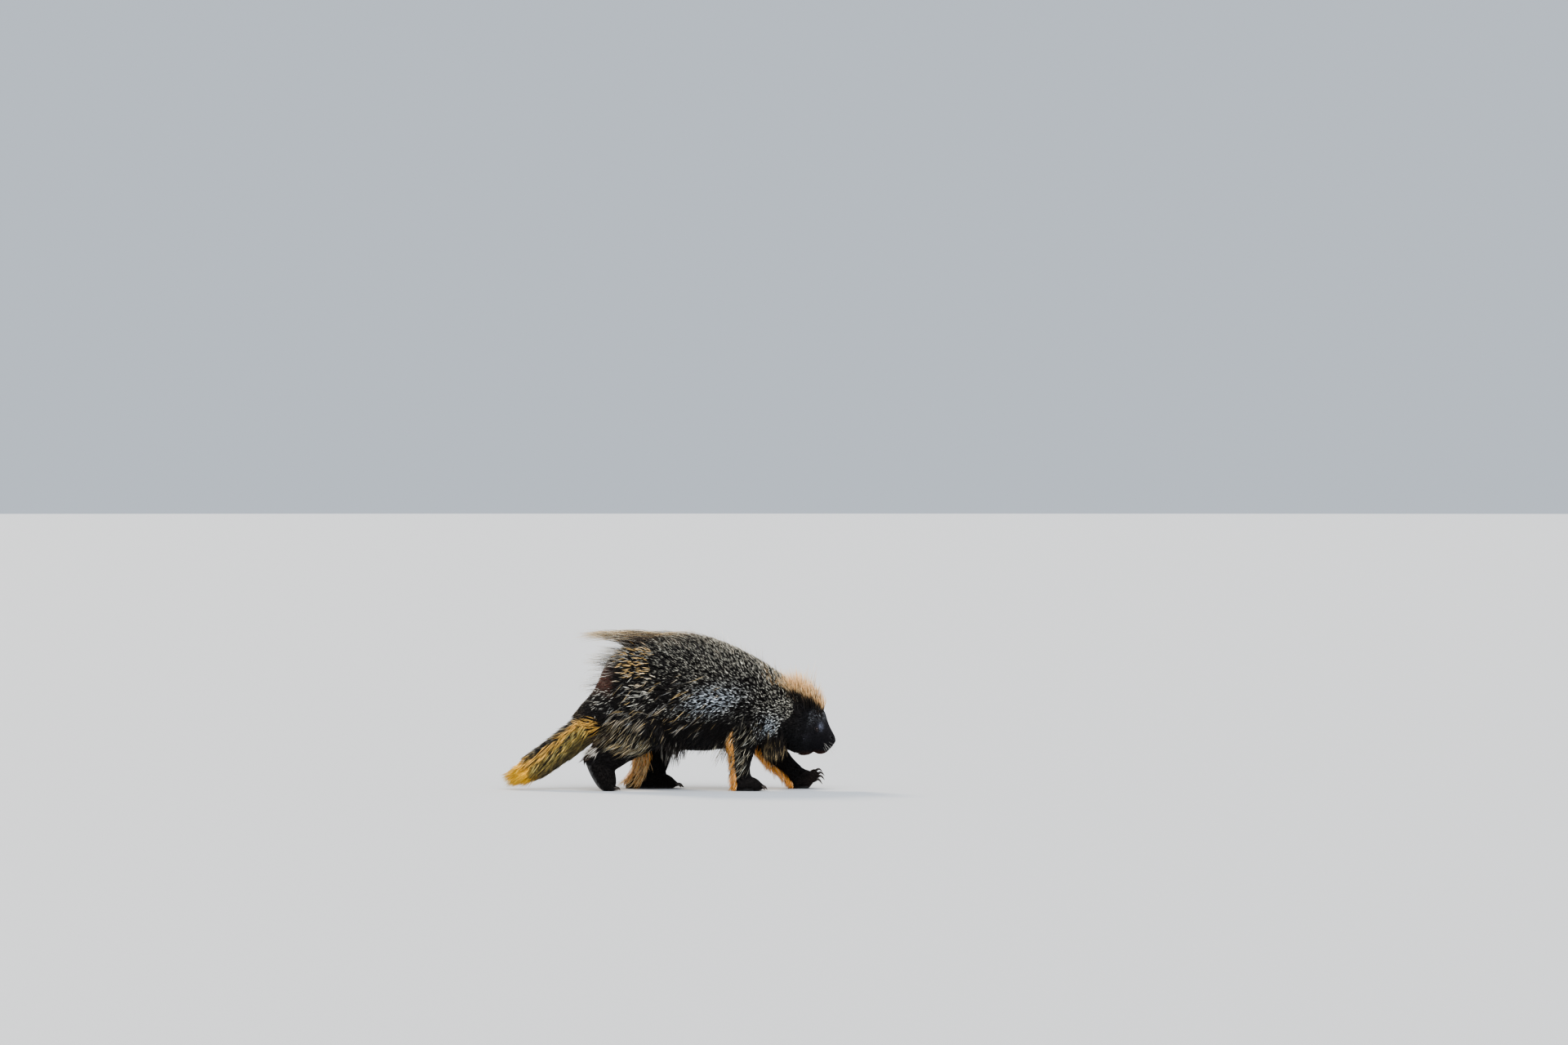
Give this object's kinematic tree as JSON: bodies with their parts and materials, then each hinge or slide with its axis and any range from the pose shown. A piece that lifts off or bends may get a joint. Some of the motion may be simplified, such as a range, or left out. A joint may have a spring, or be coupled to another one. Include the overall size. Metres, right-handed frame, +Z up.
{
  "type": "porcupine",
  "caption": "Life-size North American porcupine walking, with a deep coat of flat tapered locks, quills, a long crest of guard hair and a thick quilled tail.",
  "frame": {"origin": "on the floor, below the middle of the whole animal's box", "axes": "+X forwards, from tail to nose; +Y the animal's left; +Z up from the floor"},
  "size_m": [0.672, 0.216, 0.3184],
  "materials": {
    "coat": "coarse black-brown guard hair and quills with cream and grey tips, matte with a soft sheen",
    "tail_coat": "stiff golden-yellow hair over black quills, matte",
    "face": "short dense black velvet fur, matte",
    "foot": "short black fur over a bare grey pebbled sole",
    "claw": "smooth dark brown horn",
    "eye": "wet, dark reddish brown, glossy"
  },
  "bodies": {
    "root": {"torso": "coat", "neck": "coat", "tail": "tail_coat", "head": "face", "ear_left": "face", "ear_right": "face", "eye_left": "eye", "eye_right": "eye", "leg_fore_right_upper": "coat", "leg_fore_right_lower": "coat", "foot_fore_right": "foot", "leg_fore_left_upper": "coat", "leg_fore_left_lower": "coat", "foot_fore_left": "foot", "leg_hind_right_upper": "coat", "leg_hind_right_lower": "coat", "foot_hind_right": "foot", "leg_hind_left_upper": "coat", "leg_hind_left_lower": "coat", "foot_hind_left": "foot", "claw_fore_right_1": "claw", "claw_fore_right_2": "claw", "claw_fore_right_3": "claw", "claw_fore_right_4": "claw", "claw_fore_left_1": "claw", "claw_fore_left_2": "claw", "claw_fore_left_3": "claw", "claw_fore_left_4": "claw", "claw_hind_right_1": "claw", "claw_hind_right_2": "claw", "claw_hind_right_3": "claw", "claw_hind_right_4": "claw", "claw_hind_right_5": "claw", "claw_hind_left_1": "claw", "claw_hind_left_2": "claw", "claw_hind_left_3": "claw", "claw_hind_left_4": "claw", "claw_hind_left_5": "claw"}
  },
  "joints": []
}
